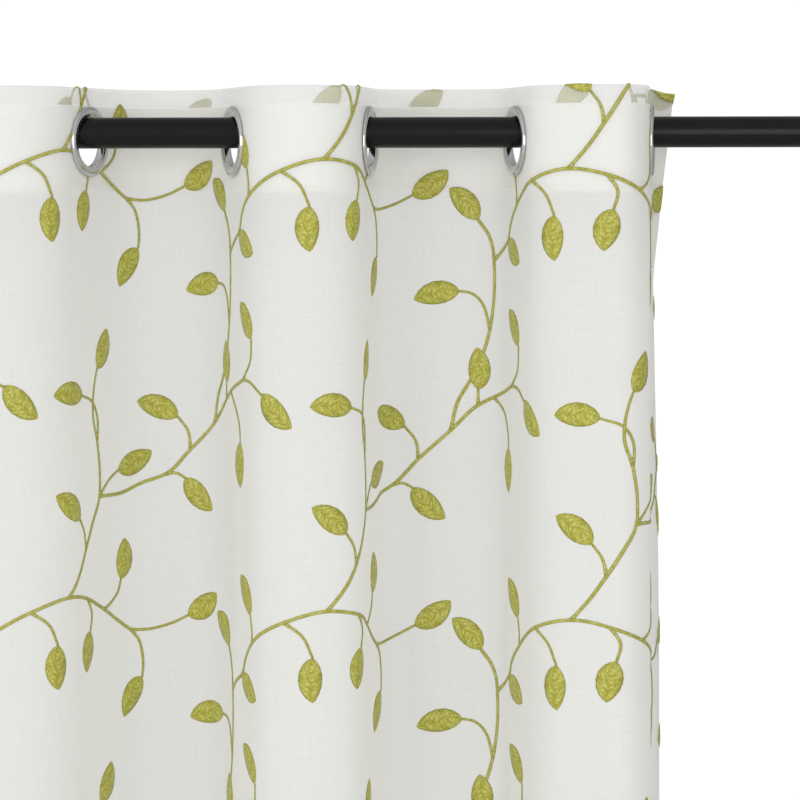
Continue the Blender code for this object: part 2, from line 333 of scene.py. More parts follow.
def add_node(tree, kind, sockets=None, **settings):
    """Adds a shader node. settings are its properties, sockets its inputs' values or what they take."""
    made = tree.nodes.new("ShaderNode" + kind)
    for name, value in settings.items():
        setattr(made, name, value)
    for socket, value in (sockets or {}).items():
        if isinstance(value, bpy.types.NodeSocket):
            tree.links.new(value, made.inputs[socket])
        else:
            made.inputs[socket].default_value = value
    return made


def blank_material(name):
    material = bpy.data.materials.new(name)
    material.use_nodes = True
    material.node_tree.nodes.clear()
    return material, material.node_tree


def wave_scale(pitch):
    """The Wave texture's scale for bands that repeat every pitch metres."""
    return math.pi / 10 / pitch


def mesh_piece(name, points, faces, material, uv=None, clean=None):
    """A finished object at the origin from points, faces and a UV for each point, smooth shaded."""
    mesh = bpy.data.meshes.new(name)
    faces = [tuple(face) for face in np.asarray(faces, dtype=object).tolist()]
    mesh.from_pydata(np.asarray(points).tolist(), [], faces)
    if uv is not None:
        corners = np.empty(len(mesh.loops), dtype=np.int32)
        mesh.loops.foreach_get("vertex_index", corners)
        layer = mesh.uv_layers.new(name="cloth")
        layer.data.foreach_set("uv", np.asarray(uv, dtype=np.float32)[corners].ravel())
    if clean:
        clean(mesh)
    mesh.materials.append(material)
    mesh.shade_smooth()
    piece = bpy.data.objects.new(name, mesh)
    bpy.context.scene.collection.objects.link(piece)
    return piece


def grid_faces(rows, columns, wrap=False):
    """Quads of a grid of points stored row by row. wrap joins each row's end to its start."""
    number = np.arange(rows * columns).reshape(rows, columns)
    if wrap:
        number = np.concatenate([number, number[:, :1]], axis=1)
    corners = number[:-1, :-1], number[1:, :-1], number[1:, 1:], number[:-1, 1:]
    return np.stack(corners, axis=-1).reshape(-1, 4)


def spaced(start, end, step):
    return np.linspace(start, end, max(1, round((end - start) / step)) + 1)


def edge_lines(shoulder, radius, outwards):
    """Grid lines round a turned edge, from the half circle's start outwards."""
    return shoulder + outwards * np.linspace(0, math.pi * radius, TURN_STEPS + 1)


def merged_lines(*runs):
    lines = np.unique(np.round(np.concatenate(runs), 7))
    return lines[np.concatenate([[True], np.diff(lines) > LEAST_SPACING])]


def voile_lines():
    """The grid's u and s lines, close together round the turned edges and at the heading."""
    left = edge_lines(HEM_TURN_RADIUS, HEM_TURN_RADIUS, -1)
    right = PANEL_WIDTH - left
    columns = merged_lines(
        np.array([left.min() - SIDE_HEM, left.min() - SIDE_HEM / 2]),
        left,
        spaced(left.max(), right.min(), COLUMN_STEP),
        right,
        np.array([right.max() + SIDE_HEM / 2, right.max() + SIDE_HEM]),
    )
    top = edge_lines(TOP_SHOULDER, TOP_TURN_RADIUS, -1)
    bottom = edge_lines(PANEL_DROP - HEM_TURN_RADIUS, HEM_TURN_RADIUS, 1)
    rows = merged_lines(
        spaced(top.min() - TURNOVER_HEIGHT + TOP_SHOULDER, top.min(), HEADING_STEP),
        top,
        spaced(TOP_SHOULDER, HEADING_HEIGHT, HEADING_STEP),
        spaced(HEADING_HEIGHT, bottom.min(), SKIRT_STEP),
        bottom,
        spaced(bottom.max(), bottom.max() + BOTTOM_HEM, SKIRT_STEP),
    )
    return columns, rows


def punched_grid(columns, rows):
    """A grid of (u, s) points with round eyelet holes, and its faces.

    Quads wholly inside a hole go, and a point left inside moves out to the hole's edge, which the
    eyelet's flange covers.
    """
    u, s = np.meshgrid(columns, rows)
    u, s = u.ravel(), s.ravel()
    nearest = EYELET_U[np.argmin(np.abs(u[:, None] - EYELET_U), axis=1)]
    away_u, away_s = u - nearest, s - EYELET_CENTRE_DROP
    away = np.hypot(away_u, away_s)
    inside = away < CUT_RADIUS
    faces = grid_faces(len(rows), len(columns))
    faces = faces[~inside[faces].all(axis=1)]
    stretch = np.where(inside, CUT_RADIUS / np.maximum(away, 1e-6), 1.0)
    u, s = nearest + away_u * stretch, EYELET_CENTRE_DROP + away_s * stretch
    used, faces = np.unique(faces, return_inverse=True)
    return u[used], s[used], faces.reshape(-1, 4)


def add_voile(material):
    """The panel: one sheet with its flap, side hems and bottom hem, on the folds of the source."""
    u, s, faces = punched_grid(*voile_lines())
    points = on_voile(u, s, np.zeros_like(u))
    return mesh_piece("voile_panel", points, faces, material, np.column_stack([u, s]))


def add_band(material):
    """The stiff heading band: a sheet behind the voile, level with the source's solid."""
    columns = spaced(BAND_INSET, PANEL_WIDTH - BAND_INSET, COLUMN_STEP)
    u, s, faces = punched_grid(columns, spaced(BAND_TOP, HEADING_HEIGHT, HEADING_STEP))
    points = hang(u, s, np.full_like(u, BAND_OFFSET))
    return mesh_piece("stiff_band", points, faces, material, np.column_stack([u, s]))


# The vine's repeat, charted in millimetres from the top of each arch, s downwards. Each
# repeat to the right hangs a little lower
REPEAT_WIDTH = 0.3335
REPEAT_HEIGHT = 0.3585
REPEAT_STEP_DOWN = 0.00775
FIRST_ARCH = (0.9023, 0.0589)
REPEAT_COLUMNS = range(-3, 3)
REPEAT_ROWS = range(-1, 8)

Leaf = namedtuple("Leaf", "base tip")
LEAVES = (
    Leaf(base=(144, 29), tip=(174, 8)),
    Leaf(base=(199, -309.5), tip=(175, -335.5)),
    Leaf(base=(198, -169), tip=(197, -204)),
    Leaf(base=(265, -208), tip=(239, -236)),
    Leaf(base=(280, -165), tip=(306, -138)),
    Leaf(base=(238, -123), tip=(238, -86)),
    Leaf(base=(183, -250.5), tip=(145, -243.5)),
    Leaf(base=(-94, 57), tip=(-65, 75)),
    Leaf(base=(-74, 7), tip=(-97, -23)),
    Leaf(base=(-12, 37), tip=(-12, 73)),
    Leaf(base=(34, 32), tip=(27, 65)),
    Leaf(base=(24, -161), tip=(-13, -163)),
    Leaf(base=(48, -182), tip=(64, -214)),
    Leaf(base=(17, -61), tip=(-12, -83)),
    Leaf(base=(79, -96), tip=(115, -110)),
    Leaf(base=(81, -5), tip=(86, -39)),
    Leaf(base=(143, -87), tip=(170, -61)),
    Leaf(base=(137, -138), tip=(102, -152)),
    Leaf(base=(104, 80), tip=(83, 111)),
)

MAIN_STEM_MM = 3.2
STALK_MM = 2.8
# The arch comes first, then the climber, the branch and the riser, each before its stalks
Stem = namedtuple("Stem", "width_mm points")
STEMS = (
    Stem(MAIN_STEM_MM, (
        (-119.5, 74), (-107, 65), (-94, 57), (-88, 45), (-80, 36), (-71, 29), (-35, 9), (0, 0), (30, 5),
        (56, 17), (93, 39),
    )),
    Stem(STALK_MM, ((93, 39), (112, 40), (129, 36), (144, 29))),
    Stem(STALK_MM, ((93, 39), (101, 48), (104, 58), (105, 70), (104, 80))),
    Stem(STALK_MM, ((-71, 29), (-71, 20), (-74, 7))),
    Stem(STALK_MM, ((-35, 9), (-20, 20), (-12, 37))),
    Stem(STALK_MM, ((30, 5), (37, 18), (34, 32))),
    Stem(STALK_MM, ((56, 17), (68, 12), (77, 5), (81, -5))),
    Stem(MAIN_STEM_MM, (
        (0, 0), (17, -20), (27.5, -36), (39, -56), (50, -77), (51, -96), (47, -124),
    )),
    Stem(STALK_MM, ((27.5, -36), (24.5, -50), (17, -61))),
    Stem(STALK_MM, ((50, -77), (64, -88), (79, -96))),
    Stem(STALK_MM, ((47, -124), (48.5, -133), (47, -144), (40, -155), (24, -161))),
    Stem(STALK_MM, ((47, -124), (41, -142), (41, -157), (45.5, -176), (48, -182))),
    Stem(MAIN_STEM_MM, (
        (50, -77), (84, -77), (108, -84), (126, -90), (148, -111), (175, -135), (198, -156), (212, -163),
        (247, -174.5),
    )),
    Stem(STALK_MM, ((126, -90), (135, -91), (143, -87))),
    Stem(STALK_MM, ((148, -111), (146, -126), (137, -138))),
    Stem(STALK_MM, ((198, -156), (198, -169))),
    Stem(STALK_MM, ((212, -163), (229, -148), (236, -137), (238, -123))),
    Stem(STALK_MM, ((247, -174.5), (263.5, -190), (265.5, -208))),
    Stem(STALK_MM, ((247, -174.5), (263, -173), (280, -163))),
    Stem(MAIN_STEM_MM, (
        (175, -135), (181, -159), (190.5, -175), (202.5, -199), (209, -220), (214, -256), (213.5, -277),
        (213, -284), (209, -296), (199, -309.5),
    )),
    Stem(STALK_MM, (
        (209, -219), (206.7, -228), (204.2, -236.5), (199, -244.5), (192.5, -249), (183, -250.5),
    )),
)

# A leaf is widest a little before its middle, blunt at the base and pointed at the tip
LEAF_HALF_WIDTH = 0.0105
LEAF_BASE_POWER = 0.66
LEAF_TIP_POWER = 0.76
LEAF_LENGTH_STEPS = 9
LEAF_RING = 8
LEAF_CROWN = 0.0009
LEAF_BEND = 0.06
THREAD_BACK = 0.0004
STEM_STEP = 0.0038
STEM_RING = 6
STEM_CROWN = 0.0010
STEM_NODE = 0.35
STEM_NODE_REACH = 0.0040
STALK_TAPER = 0.18
THREAD_CLEAR = 0.0001
SWELL_POWER = 0.6


def thread_ring(steps, crown):
    """The rounded cross-section of sewn thread: its share across, and its height out of the cloth."""
    turn = 2 * math.pi * (np.arange(steps) + 0.5) / steps
    height = np.where(np.sin(turn) > 0, crown, THREAD_BACK) * np.sin(turn)
    return np.cos(turn), height + THREAD_CLEAR


def closed_tube(rows, ring):
    """Faces of a tube of rings stored one after another, with one more point at each end."""
    faces = grid_faces(rows, ring, wrap=True)
    first, last = np.arange(ring), np.arange(ring) + (rows - 1) * ring
    start = np.column_stack([np.full(ring, rows * ring), first, np.roll(first, -1)])
    end = np.column_stack([np.full(ring, rows * ring + 1), np.roll(last, -1), last])
    return [*faces.tolist(), *start.tolist(), *end.tolist()]


def sewn_shape(spine, half_width, crown, ring, along):
    """Sewn thread along a spine on the flat cloth: (u, s, height) points, faces and UVs in metres.

    Each ring lies across the spine, half_width to either side, and its height swells with it. The
    UV is the share across, from -1 to 1, and the way along in metres.
    """
    lead = np.gradient(spine, axis=0)
    lead /= np.linalg.norm(lead, axis=1)[:, None]
    across = np.column_stack([-lead[:, 1], lead[:, 0]])
    share, height = thread_ring(ring, crown)
    swell = (half_width / half_width.max()) ** SWELL_POWER
    flat = spine[:, None] + across[:, None] * (half_width[:, None] * share)[:, :, None]
    points = np.concatenate([flat, (swell[:, None] * height)[:, :, None]], axis=2).reshape(-1, 3)
    ends = np.column_stack([spine[[0, -1]], np.full(2, THREAD_CLEAR)])
    uv = np.stack(np.broadcast_arrays(share, along[:, None]), axis=2).reshape(-1, 2)
    ends_uv = np.column_stack([np.zeros(2), along[[0, -1]]])
    return np.concatenate([points, ends]), closed_tube(len(spine), ring), np.concatenate([uv, ends_uv])


def leaf_shape(leaf):
    """One leaf: half width is proportional to t to a power, times 1 less t to another power."""
    base, tip = np.array(leaf.base) * MM, np.array(leaf.tip) * MM
    length = np.linalg.norm(tip - base)
    lead = (tip - base) / length
    t = 0.5 - 0.5 * np.cos(np.linspace(0.10, math.pi * 0.985, LEAF_LENGTH_STEPS))
    half = t**LEAF_BASE_POWER * (1 - t) ** LEAF_TIP_POWER
    half = half * LEAF_HALF_WIDTH / half.max()
    bow = LEAF_BEND * length * np.sin(math.pi * t)
    spine = base + lead * (t * length)[:, None] + np.array([-lead[1], lead[0]]) * bow[:, None]
    return sewn_shape(spine, half, LEAF_CROWN, LEAF_RING, t * length)


def stem_shape(stem):
    """One stem: a cubic Hermite curve through its points, thicker where it leaves another stem."""
    marks = np.array(stem.points) * MM
    way = np.concatenate([[0], np.cumsum(np.linalg.norm(np.diff(marks, axis=0), axis=1))])
    slope = np.gradient(marks, way, axis=0)
    at = spaced(0, way[-1], STEM_STEP)
    i = np.clip(np.searchsorted(way, at, side="right") - 1, 0, len(way) - 2)
    gap = way[i + 1] - way[i]
    t = ((at - way[i]) / gap)[:, None]
    gap = gap[:, None]
    spine = (
        (1 + 2 * t) * (1 - t) ** 2 * marks[i]
        + t * (1 - t) ** 2 * gap * slope[i]
        + t * t * (3 - 2 * t) * marks[i + 1]
        + t * t * (t - 1) * gap * slope[i + 1]
    )
    half = stem.width_mm * MM / 2 * (1 - STALK_TAPER * at / way[-1] * (stem.width_mm == STALK_MM))
    half = half * (1 + STEM_NODE * np.exp(-((at / STEM_NODE_REACH) ** 2)))
    return sewn_shape(spine, half, STEM_CROWN, STEM_RING, at)


def repeats():
    """The arch tops of every repeat that can reach the panel."""
    return np.array([
        (FIRST_ARCH[0] + i * REPEAT_WIDTH, FIRST_ARCH[1] + j * REPEAT_HEIGHT + i * REPEAT_STEP_DOWN)
        for i in REPEAT_COLUMNS for j in REPEAT_ROWS
    ])


# The flat voile's bounds in u and s, hems and all, and the two ways across it
VOILE_LOW = (
    HEM_TURN_RADIUS * (1 - math.pi) - SIDE_HEM,
    TOP_SHOULDER * 2 - math.pi * TOP_TURN_RADIUS - TURNOVER_HEIGHT,
)
VOILE_HIGH = (PANEL_WIDTH - VOILE_LOW[0], PANEL_DROP + HEM_TURN_RADIUS * (math.pi - 1) + BOTTOM_HEM)
AXES = Vector((1, 0, 0)), Vector((0, 1, 0))
SPLIT_REACH = 0.02


def trim_to_cloth(mesh):
    """Cuts sewn shapes at the cloth's edges and at the eyelets, splits them where the cloth turns,
    and then lays them from the flat cloth onto the folds."""
    work = bmesh.new()
    work.from_mesh(mesh)
    for axis, low, high in zip(AXES, VOILE_LOW, VOILE_HIGH):
        for bound, side in ((low, -1), (high, 1)):
            cut = bmesh.ops.bisect_plane(
                work, geom=[*work.verts, *work.edges, *work.faces], plane_co=axis * bound,
                plane_no=axis * side, clear_outer=True,
            )["geom_cut"]
            rim = [edge for edge in cut if isinstance(edge, bmesh.types.BMEdge)]
            bmesh.ops.holes_fill(work, edges=rim, sides=0)
    left = edge_lines(HEM_TURN_RADIUS, HEM_TURN_RADIUS, -1)
    turns = (
        (0, left), (0, PANEL_WIDTH - left), (1, edge_lines(TOP_SHOULDER, TOP_TURN_RADIUS, -1)),
        (1, edge_lines(PANEL_DROP - HEM_TURN_RADIUS, HEM_TURN_RADIUS, 1)),
    )
    for axis, lines in turns:
        for line in lines:
            near = [face for face in work.faces if abs(face.calc_center_median()[axis] - line) < SPLIT_REACH]
            edges = (edge for face in near for edge in face.edges)
            corners = (vertex for face in near for vertex in face.verts)
            bmesh.ops.bisect_plane(
                work, geom=list({*near, *edges, *corners}), plane_co=AXES[axis] * line, plane_no=AXES[axis]
            )
    gone = []
    for face in work.faces:
        u, s, _ = face.calc_center_median()
        away = s - EYELET_CENTRE_DROP
        if abs(away) < CUT_RADIUS and np.hypot(EYELET_U - u, away).min() < CUT_RADIUS:
            gone.append(face)
    bmesh.ops.delete(work, geom=gone, context="FACES")
    bmesh.ops.holes_fill(work, edges=[edge for edge in work.edges if edge.is_boundary], sides=0)
    work.to_mesh(mesh)
    work.free()
    flat = np.empty(len(mesh.vertices) * 3)
    mesh.vertices.foreach_get("co", flat)
    u, s, height = flat.reshape(-1, 3).T
    mesh.vertices.foreach_set("co", on_voile(u, s, height).ravel())


def overlaps_cloth(points):
    low, high = points.min(axis=0), points.max(axis=0)
    return (high[:2] > VOILE_LOW).all() and (low[:2] < VOILE_HIGH).all()


def sew_on_voile(name, sewn, material):
    """Many sewn shapes as one piece: sewn is pairs of a shape and its place. Those off the cloth go."""
    points, faces, uvs, count = [], [], [], 0
    for (shape_points, shape_faces, shape_uv), place in sewn:
        moved = shape_points + np.append(place, 0.0)
        if not overlaps_cloth(moved):
            continue
        points.append(moved)
        faces.extend([[corner + count for corner in face] for face in shape_faces])
        uvs.append(shape_uv)
        count += len(moved)
    return mesh_piece(name, np.concatenate(points), faces, material, np.concatenate(uvs), trim_to_cloth)


# Sewing thread of the heading and the hems
STITCH_PITCH = 0.0030
STITCH_LENGTH = 0.0023
STITCH_HALF_WIDTH = 0.00026
STITCH_CROWN = 0.0004
STITCH_RING = 4


def stitch_shape(lead):
    """One lockstitch: a short rounded thread that dips into the cloth at both ends."""
    t = np.array([-0.5, -0.25, 0.25, 0.5])
    half = STITCH_HALF_WIDTH * np.array([0.4, 1.0, 1.0, 0.4])
    spine = t[:, None] * STITCH_LENGTH * np.array(lead)
    return sewn_shape(spine, half, STITCH_CROWN, STITCH_RING, t * STITCH_LENGTH)


def add_hem_stitching(material):
    """Rows of lockstitch: along the band's lower edge and along the three hems."""
    across = np.arange(STITCH_PITCH, PANEL_WIDTH - STITCH_PITCH, STITCH_PITCH)
    down = np.arange(HEADING_HEIGHT, PANEL_DROP - STITCH_PITCH, STITCH_PITCH)
    level, upright = stitch_shape((1.0, 0.0)), stitch_shape((0.0, 1.0))
    rows = (
        (level, [(u, HEADING_HEIGHT - STITCH_INSET) for u in across]),
        (level, [(u, PANEL_DROP - BOTTOM_HEM + STITCH_INSET) for u in across]),
        (upright, [(SIDE_HEM - STITCH_INSET, s) for s in down]),
        (upright, [(PANEL_WIDTH - SIDE_HEM + STITCH_INSET, s) for s in down]),
    )
    sewn = [(shape, place) for shape, places in rows for place in places]
    return sew_on_voile("hem_stitching", sewn, material)


# Fine form of the eyelets
EYELET_SIDES = 72
FLANGE_STEPS = 12
FLANGE_CREST = 0.62
GROOVE_AT = 0.16
GROOVE_DEPTH = 0.0004
GROOVE_WIDTH = 0.05
BARREL_ROLL = 0.0006
DOME_POWER = 0.55
LIP_TAPER = 1.6
EYELET_SHARP_DEG = 50


def flange(inner, seat, outwards):
    """A domed flange's face from its inner to its outer edge: radii and offsets.

    The height is a power of a sine whose crest is pulled outwards, less a fine groove near the bore.
    """
    t = np.linspace(0, 1, FLANGE_STEPS + 1)
    rise = np.sin(math.pi * t ** (math.log(0.5) / math.log(FLANGE_CREST))) ** DOME_POWER
    groove = GROOVE_DEPTH * np.exp(-(((t - GROOVE_AT) / GROOVE_WIDTH) ** 2))
    lip = EYELET_LIP * np.minimum(1.0, LIP_TAPER - t)
    height = lip + (EYELET_DOME - EYELET_LIP) * rise - groove
    return inner + t * (EYELET_OUTER_RADIUS - inner), seat + outwards * height


def turned(profile, sides):
    """A closed (radius, offset) profile turned about an axis: local points and faces."""
    profile = np.asarray(profile)
    angle = 2 * math.pi * np.arange(sides) / sides
    radius, offset = profile[:, :1], profile[:, 1:]
    points = np.stack(np.broadcast_arrays(radius * np.cos(angle), radius * np.sin(angle), offset), axis=-1)
    faces = grid_faces(len(profile), sides, wrap=True)
    last = (len(profile) - 1) * sides
    ring = np.arange(sides)
    closing = np.column_stack([ring + last, ring, np.roll(ring, -1), np.roll(ring, -1) + last])
    return points.reshape(-1, 3), np.concatenate([faces, closing])


def front_half_profile():
    """The front half: the flange's face, its underside, and the barrel through the cloth."""
    seat = FRONT_FACE - FIT_GAP
    end = BACK_FACE + FIT_GAP + EYELET_DOME - EYELET_LIP
    radii, offsets = flange(EYELET_BORE_RADIUS, seat, -1)
    return [
        *zip(radii, offsets),
        (EYELET_OUTER_RADIUS, seat),
        (EYELET_BARREL_RADIUS, seat),
        (EYELET_BARREL_RADIUS, end),
        (EYELET_BORE_RADIUS + BARREL_ROLL, end),
        (EYELET_BORE_RADIUS, end - BARREL_ROLL),
    ]


def back_half_profile():
    """The back half: a domed ring that closes round the barrel behind the cloth."""
    inner = EYELET_BARREL_RADIUS + FIT_GAP
    seat = BACK_FACE + FIT_GAP
    radii, offsets = flange(inner, seat, 1)
    return [*zip(radii, offsets), (EYELET_OUTER_RADIUS, seat), (inner, seat)]


def outwards(mesh):
    """Turns every face of a closed mesh outwards."""
    work = bmesh.new()
    work.from_mesh(mesh)
    bmesh.ops.recalc_face_normals(work, faces=work.faces)
    work.to_mesh(mesh)
    work.free()


def add_eyelets(material):
    """Both halves of each eyelet, square to the cloth where it passes the rod."""
    profiles = {"front": front_half_profile(), "back": back_half_profile()}
    halves = {half: turned(profile, EYELET_SIDES) for half, profile in profiles.items()}
    for number, (x, heading) in enumerate(eyelet_places(), start=1):
        back = (-math.sin(heading), math.cos(heading), 0.0)
        side = (math.cos(heading), math.sin(heading), 0.0)
        turn = np.array([[0, side[0], back[0]], [0, side[1], back[1]], [1, 0, 0]])
        for half, (points, faces) in halves.items():
            placed = points @ turn.T + np.array([x, 0, EYELET_Z])
            ring = mesh_piece(f"chrome_eyelet_{number}_{half}", placed, faces, material, clean=outwards)
            ring.data.set_sharp_from_angle(angle=math.radians(EYELET_SHARP_DEG))
            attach(ring, "root")
            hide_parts(f"eyelet_{number}_{half}")
            yield ring


ROD_SIDES = 96
ROD_CHAMFER = 0.0006
ROD_RINGS = 13
ROD_SHARP_DEG = 40


def add_rod(material):
    """The rod: a long round bar whose ends have a fine chamfer."""
    inner = np.linspace(0, ROD_LENGTH, ROD_RINGS)[1:-1]
    x = np.concatenate([[0, ROD_CHAMFER], inner, [ROD_LENGTH - ROD_CHAMFER, ROD_LENGTH]])
    radius = np.full(len(x), ROD_RADIUS)
    radius[[0, -1]] -= ROD_CHAMFER
    angle = 2 * math.pi * np.arange(ROD_SIDES) / ROD_SIDES
    y, z = radius[:, None] * np.cos(angle), radius[:, None] * np.sin(angle)
    points = np.stack(np.broadcast_arrays(x[:, None], y, z), axis=-1).reshape(-1, 3)
    last = (len(x) - 1) * ROD_SIDES
    faces = grid_faces(len(x), ROD_SIDES, wrap=True).tolist()
    faces += [list(range(ROD_SIDES)), list(range(last + ROD_SIDES - 1, last - 1, -1))]
    rod = mesh_piece("black_rod", points, faces, material, clean=outwards)
    rod.data.set_sharp_from_angle(angle=math.radians(ROD_SHARP_DEG))
    return rod


# Threads finer than a pixel of the photograph are drawn this coarse, so that they show
DRAWN_WEAVE_PITCH = 0.0011
WEAVE_SHARE = 0.25
SLUB_LENGTH = 0.030
SLUB_WIDTH = 0.0012
FLAP_SOFTNESS = 0.0015

# How much of the cloth's area is yarn, how much of that along the fused flap, and the share of the
# light on it that comes out on the other side
VOILE_COVER = (0.925, 0.965)
VOILE_FLAP_SHARE = 0.48
VOILE_GLOW = 0.50
BAND_COVER = (0.95, 1.0)
BAND_FLAP_SHARE = 0.32
BAND_GLOW = 0.22


def flap_strip(tree, uv, share):
    """A number by the drop of the cloth: share along the turned-over flap, and 1 below it."""
    drop = add_node(tree, "SeparateXYZ", {0: uv}).outputs["Y"]
    return add_node(
        tree, "MapRange",
        {
            "Value": drop, "From Min": TURNOVER_HEIGHT, "From Max": TURNOVER_HEIGHT + FLAP_SOFTNESS,
            "To Min": share,
        },
        interpolation_type="SMOOTHSTEP",
    ).outputs[0]


def voile_material():
    """Polyester voile, plain woven of fine matt yarn about 0.4 mm apart.

    Light passes between and through the yarns, so the cloth glows softly and has faint thicker
    threads both ways. At the top, where the flap is fused to it, it shows what touches its back.
    """
    material, tree = blank_material("plain-woven polyester voile")
    uv = add_node(tree, "TexCoord").outputs["UV"]
    yarns, slubs = [], []
    for direction, size in (("X", (SLUB_WIDTH, SLUB_LENGTH)), ("Y", (SLUB_LENGTH, SLUB_WIDTH))):
        wave = {"Vector": uv, "Scale": wave_scale(DRAWN_WEAVE_PITCH)}
        yarns.append(add_node(tree, "TexWave", wave, bands_direction=direction).outputs["Fac"])
        place = add_node(tree, "Mapping", {"Vector": uv, "Scale": (1 / size[0], 1 / size[1], 1)})
        noise = add_node(tree, "TexNoise", {"Vector": place.outputs[0], "Scale": 1.0, "Detail": 2.0})
        slubs.append(noise.outputs["Fac"])
    weave = add_node(tree, "Math", dict(enumerate(yarns)), operation="ADD")
    slubs = add_node(tree, "Math", dict(enumerate(slubs)), operation="ADD")
    threads = add_node(
        tree, "Math", {0: weave.outputs[0], 1: WEAVE_SHARE, 2: slubs.outputs[0]}, operation="MULTIPLY_ADD"
    )
    cover = add_node(
        tree, "MapRange",
        {
            "Value": threads.outputs[0], "From Min": 0.75, "From Max": 1.75,
            "To Min": VOILE_COVER[0], "To Max": VOILE_COVER[1],
        },
    )
    cover = add_node(
        tree, "Math", {0: cover.outputs[0], 1: flap_strip(tree, uv, VOILE_FLAP_SHARE)}, operation="MULTIPLY"
    )
    tint = add_node(
        tree, "MapRange",
        {"Value": slubs.outputs[0], "From Min": 0.7, "From Max": 1.3, "To Min": 0.0, "To Max": 1.0},
    )
    colour = add_node(
        tree, "Mix", {0: tint.outputs[0], 6: linear("#F9F9F5"), 7: linear("#FBFBF9")}, data_type="RGBA"
    )
    bump = add_node(tree, "Bump", {"Height": threads.outputs[0], "Strength": 0.15, "Distance": 0.0002})
    face = add_node(
        tree, "BsdfPrincipled",
        {
            "Base Color": colour.outputs[2], "Roughness": 0.75, "Normal": bump.outputs[0],
            "Specular IOR Level": 0.3, "Sheen Weight": 0.1, "Sheen Roughness": 0.4,
        },
    )
    glow = add_node(tree, "BsdfTranslucent", {"Color": colour.outputs[2], "Normal": bump.outputs[0]})
    cloth = add_node(tree, "MixShader", {0: VOILE_GLOW, 1: face.outputs[0], 2: glow.outputs[0]})
    gaps = add_node(tree, "BsdfTransparent")
    sheer = add_node(tree, "MixShader", {0: cover.outputs[0], 1: gaps.outputs[0], 2: cloth.outputs[0]})
    add_node(tree, "OutputMaterial", {"Surface": sheer.outputs[0]})
    return material


def band_material():
    """Bonded non-woven heading tape: short fibres pressed flat, whiter and closer than the voile.

    It lets light through evenly, with faint clouds where the fibres lie thicker.
    """
    material, tree = blank_material("bonded non-woven heading tape")
    uv = add_node(tree, "TexCoord").outputs["UV"]
    fibres = add_node(tree, "TexNoise", {"Vector": uv, "Scale": 260.0, "Detail": 4.0})
    clouds = add_node(tree, "TexNoise", {"Vector": uv, "Scale": 30.0, "Detail": 2.0})
    mixed = add_node(tree, "Math", {0: fibres.outputs["Fac"], 1: clouds.outputs["Fac"]}, operation="ADD")
    cover = add_node(
        tree, "MapRange",
        {
            "Value": mixed.outputs[0], "From Min": 0.6, "From Max": 1.4,
            "To Min": BAND_COVER[0], "To Max": BAND_COVER[1],
        },
    )
    cover = add_node(
        tree, "Math", {0: cover.outputs[0], 1: flap_strip(tree, uv, BAND_FLAP_SHARE)}, operation="MULTIPLY"
    )
    bump = add_node(tree, "Bump", {"Height": fibres.outputs["Fac"], "Strength": 0.2, "Distance": 0.0002})
    white = linear("#FCFCFA")
    face = add_node(
        tree, "BsdfPrincipled",
        {"Base Color": white, "Roughness": 0.8, "Normal": bump.outputs[0], "Specular IOR Level": 0.3},
    )
    glow = add_node(tree, "BsdfTranslucent", {"Color": white})
    cloth = add_node(tree, "MixShader", {0: BAND_GLOW, 1: face.outputs[0], 2: glow.outputs[0]})
    gaps = add_node(tree, "BsdfTransparent")
    tape = add_node(tree, "MixShader", {0: cover.outputs[0], 1: gaps.outputs[0], 2: cloth.outputs[0]})
    add_node(tree, "OutputMaterial", {"Surface": tape.outputs[0]})
    return material


# Stitches are drawn coarser than the 0.4 mm yarn, so that they show
LEAF_ROW_PITCH = 0.0016
STITCH_DRAWN_LENGTH = 0.0030
STEM_TWIST_PITCH = 0.0017
THREAD_TWIST_PITCH = 0.0006


